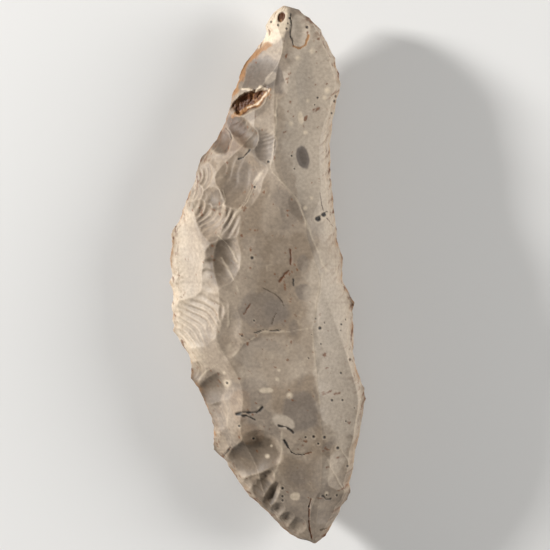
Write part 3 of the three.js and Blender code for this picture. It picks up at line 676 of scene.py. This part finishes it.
def front_finish(x, y, height, inside):
    """Height and colour of the front with its stains, painted highlights and shade, beads, pits
    and cracks.
    """
    colour = mottled(*sheared(x, y, height, MOTTLE_SHEAR), 100)
    colour = paint_patches_and_bevel_highlight(colour, x, y, inside)
    for add in (add_crest_highlights, add_hollows, add_beads, add_cracks, add_pits):
        colour, height = add(colour, height, x, y)
    return height, rust_on_margin(colour, *sheared(x, y, height, RUST_SHEAR), inside, 300)


def back_finish(x, y, height, inside):
    """Height and colour of the back: the same flint, with a few specks and stains."""
    colour = mottled(*sheared(x, y, height, MOTTLE_SHEAR), 500)
    colour = mix(colour, CREAM, 0.8 * ellipse(x, y, 6, 93, 8, 7, 10, 0.4, 9))
    dots = np.clip((grid_noise(x, y, 1.3, 610) - 0.86) * 12, 0, 1)
    colour = mix(colour, BLACK, dots)
    stains = np.clip(layered_noise(x, y, 11, 620) * 2.4 - 1, 0, 1)
    colour = mix(colour, ORANGE, 0.35 * stains)
    colour = rust_on_margin(colour, *sheared(x, y, height, RUST_SHEAR), inside, 700)
    return np.where(height < REST_HEIGHT, 0, height + 0.12 * dots), colour


def roughness(layers, x, y):
    return sum(height * layered_noise(x, y, size, seed) for height, size, seed in layers)


def grid_places():
    """Rows of points from margin to margin, with both margins."""
    y = np.linspace(DRAWN_LENGTH / 2, -DRAWN_LENGTH / 2, ROWS + 1)[:, None]
    share = np.linspace(-1, 1, COLUMNS + 1)[None, :]
    share = ((1 - CROWDING) * share + CROWDING * np.sin(share * math.pi / 2) + 1) / 2
    fade = np.minimum(1, (DRAWN_LENGTH / 2 - np.abs(y)) / JAG_FADE)
    left_jag = LEFT_JAG * fade * layered_noise(y, y * 0, JAG_SIZE, 11)
    right_jag = RIGHT_JAG * fade * layered_noise(y, y * 0, JAG_SIZE, 21)
    left = margin(LEFT_MARGIN, 1, y) + left_jag
    right = margin(RIGHT_MARGIN, -1, y) + right_jag
    x = left + (right - left) * share
    return x, np.broadcast_to(y, x.shape), left, right


def face_heights(x, y, inside):
    """Both faces, drawn together into a thin edge at the margins."""
    front = knapped(front_at, FRONT_FLAKES, 1, x, y)
    back = np.maximum(knapped(back_at, BACK_FLAKES, -1, x, y), 0)
    rim = across_at(x, y)[3]
    taper = np.clip(inside / EDGE_TAPER, 0, 1) ** EDGE_ROUNDING
    front = rim + EDGE_HALF + (front - rim - EDGE_HALF) * taper
    back = rim - EDGE_HALF + (back - rim + EDGE_HALF) * taper
    calm = np.clip(inside / ROUGHNESS_FADE, 0, 1)
    front = front + calm * roughness(FRONT_ROUGHNESS, x, y)
    back = back + calm * (back > LIFTED_HEIGHT) * roughness(BACK_ROUGHNESS, x, y)
    return front, back


def surface_grid():
    """Heights and colours of both faces on one grid of rows from margin to margin."""
    x, y, left, right = grid_places()
    inside = np.minimum(x - left, right - x)
    front, back = face_heights(x, y, inside)
    spacing_x = np.maximum((right - left) / COLUMNS, LEAST_SPACING)
    spacing_y = DRAWN_LENGTH / ROWS
    # Curvature of each face, for its painted highlight on ridges and painted shade in hollows
    front_painted_light = painted_light_mask(front, spacing_x, spacing_y)
    back_painted_light = painted_light_mask(-back, spacing_x, spacing_y)
    front, front_colour = front_finish(x, y, front, inside)
    back, back_colour = back_finish(x, y, back, inside)
    front = np.maximum(front, back + EDGE_HALF)
    return (x, y, front, back, paint_ridge_highlight_and_hollow_shade(front_colour, front_painted_light),
            paint_ridge_highlight_and_hollow_shade(back_colour, back_painted_light))


def grid_faces(shape):
    """Quads of the front, the back and the wall that joins their rims."""
    count = shape[0] * shape[1]
    ids = np.arange(count).reshape(shape)
    a, b, c, d = ids[:-1, :-1], ids[1:, :-1], ids[1:, 1:], ids[:-1, 1:]
    upper = np.stack([a, b, c, d], -1).reshape(-1, 4)
    lower = np.stack([a, d, c, b], -1).reshape(-1, 4) + count
    loop = np.concatenate([ids[:, 0], ids[-1, 1:], ids[-2::-1, -1], ids[0, -2:0:-1]])
    after = np.roll(loop, -1)
    wall = np.stack([loop, loop + count, after + count, after], -1)
    return upper, lower, wall


def fitted(points):
    """The points moved and stretched to fill the part's own box."""
    low, high = (np.array(corner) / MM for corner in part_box("flint_axe"))
    start, end = points.min(0), points.max(0)
    return low + (points - start) * (high - low) / (end - start)


def stone_mesh():
    """One closed mesh of both faces and the thin wall between them."""
    x, y, front, back, front_colour, back_colour = surface_grid()
    points = fitted(np.concatenate([
        np.stack([x, y, front], -1).reshape(-1, 3),
        np.stack([x, y, back], -1).reshape(-1, 3),
    ]))
    upper, lower, wall = grid_faces(x.shape)
    faces = np.concatenate([upper, lower, wall])
    mesh = bpy.data.meshes.new("flint_axe_stone")
    mesh.from_pydata((points * MM).tolist(), [], faces.tolist())
    colours = np.concatenate([front_colour.reshape(-1, 3), back_colour.reshape(-1, 3)])
    tint = mesh.color_attributes.new("flint_tint", "FLOAT_COLOR", "POINT")
    tint.data.foreach_set("color", np.c_[np.clip(colours, 0, 1), np.ones(len(colours))].ravel())
    add_map(mesh, points, faces, len(upper), len(lower))
    mesh.shade_smooth()
    mesh.update()
    return mesh


def add_map(mesh, points, faces, upper, lower):
    """A flat map: the front, the back beside it, and the wall as a strip."""
    scale = MAP_FILL / DRAWN_LENGTH
    corner = points[faces.ravel()]
    u = MAP_CORNER[0] + (corner[:, 0] + DRAWN_WIDTH / 2) * scale
    v = MAP_CORNER[1] + (corner[:, 1] + DRAWN_LENGTH / 2) * scale
    of_back = slice(4 * upper, 4 * (upper + lower))
    of_wall = slice(4 * (upper + lower), None)
    u[of_back] += MAP_BACK
    side = np.where(corner[of_wall, 0] < WALL_PARTING, *MAP_WALLS)
    u[of_wall] = side + (corner[of_wall, 2] - DRAWN_THICKNESS / 2) * scale
    layer = mesh.uv_layers.new(name="OFBake")
    layer.data.foreach_set("uv", np.stack([u, v], -1).ravel().astype(np.float32))


def noise_output(tree, place, scale, detail):
    noise = tree.nodes.new("ShaderNodeTexNoise")
    noise.inputs["Scale"].default_value = scale
    noise.inputs["Detail"].default_value = detail
    tree.links.new(place.outputs["Object"], noise.inputs["Vector"])
    return noise.outputs["Fac"]


def range_output(tree, source, from_min, from_max, to_min, to_max):
    spread = tree.nodes.new("ShaderNodeMapRange")
    spread.inputs["From Min"].default_value = from_min
    spread.inputs["From Max"].default_value = from_max
    spread.inputs["To Min"].default_value = to_min
    spread.inputs["To Max"].default_value = to_max
    tree.links.new(source, spread.inputs["Value"])
    return spread.outputs["Result"]


def flint_material():
    """Patinated flint: the painted tint, fine speckle, half gloss and a grain."""
    material = bpy.data.materials.new("flint")
    material.use_nodes = True
    tree = material.node_tree
    shader = tree.nodes["Principled BSDF"]
    tint = tree.nodes.new("ShaderNodeVertexColor")
    tint.layer_name = "flint_tint"
    place = tree.nodes.new("ShaderNodeTexCoord")
    speckle = noise_output(tree, place, 900, 5)
    blend = tree.nodes.new("ShaderNodeVectorMath")
    blend.operation = "SCALE"
    tree.links.new(tint.outputs["Color"], blend.inputs[0])
    tree.links.new(range_output(tree, speckle, 0.3, 0.7, 0.86, 1.12), blend.inputs["Scale"])
    tree.links.new(blend.outputs["Vector"], shader.inputs["Base Color"])
    clouds = noise_output(tree, place, 120, 6)
    tree.links.new(range_output(tree, clouds, 0, 1, 0.46, 0.74), shader.inputs["Roughness"])
    grain = tree.nodes.new("ShaderNodeBump")
    grain.inputs["Strength"].default_value = 0.35
    grain.inputs["Distance"].default_value = 0.00012
    tree.links.new(speckle, grain.inputs["Height"])
    tree.links.new(grain.outputs["Normal"], shader.inputs["Normal"])
    shader.inputs["Specular IOR Level"].default_value = 0.36
    return material


def add_stone():
    stone = bpy.data.objects.new("flint_axe_stone", stone_mesh())
    bpy.context.scene.collection.objects.link(stone)
    stone.data.materials.append(flint_material())
    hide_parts("flint_axe")
    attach(stone, "root")


def add_floor():
    """A pale floor just under the stone."""
    mesh = bpy.data.meshes.new("floor")
    half = FLOOR_HALF
    corners = [(-half, -half, 0), (half, -half, 0), (half, half, 0), (-half, half, 0)]
    mesh.from_pydata(corners, [], [(0, 1, 2, 3)])
    floor = bpy.data.objects.new("floor", mesh)
    floor.location.z = -FLOOR_DROP
    bpy.context.scene.collection.objects.link(floor)
    material = bpy.data.materials.new("floor")
    material.use_nodes = True
    shader = material.node_tree.nodes["Principled BSDF"]
    shader.inputs["Base Color"].default_value = FLOOR_COLOUR
    shader.inputs["Roughness"].default_value = FLOOR_ROUGHNESS
    mesh.materials.append(material)


def add_lamp(name, place, size, power):
    """A square lamp turned to the stone."""
    light = bpy.data.lights.new(name, "AREA")
    light.shape = "SQUARE"
    light.size = size
    light.energy = power
    lamp = bpy.data.objects.new(name, light)
    lamp.location = place
    away = [place[k] - LIGHTS_AIM[k] for k in range(3)]
    tilt = math.atan2(math.hypot(away[0], away[1]), away[2])
    lamp.rotation_euler = (tilt, 0, math.atan2(away[1], away[0]) + math.pi / 2)
    bpy.context.scene.collection.objects.link(lamp)


def add_sky():
    world = bpy.data.worlds.new("world")
    world.use_nodes = True
    sky = world.node_tree.nodes["Background"]
    sky.inputs["Color"].default_value = SKY_COLOUR
    sky.inputs["Strength"].default_value = SKY_STRENGTH
    bpy.context.scene.world = world


def add_camera():
    """Straight down, with the stone a little left of the picture's middle."""
    camera = bpy.data.cameras.new("camera")
    pixel = MM_PER_PIXEL * MM
    rim_height = DRAWN_THICKNESS * MM / 2
    camera.sensor_width = SENSOR
    camera.lens = SENSOR * (CAMERA_HEIGHT - rim_height) / (IMAGE_SIDE * pixel)
    holder = bpy.data.objects.new("camera", camera)
    offset_x = (IMAGE_SIDE / 2 - STONE_MIDDLE_PIXEL[0]) * pixel
    offset_y = (STONE_MIDDLE_PIXEL[1] - IMAGE_SIDE / 2) * pixel
    holder.location = (offset_x, offset_y, CAMERA_HEIGHT)
    bpy.context.scene.collection.objects.link(holder)
    bpy.context.scene.camera = holder


bpy.context.scene.view_settings.view_transform = "Standard"
add_camera()
for lamp_row in LAMPS:
    add_lamp(*lamp_row)
add_sky()
add_floor()
add_stone()
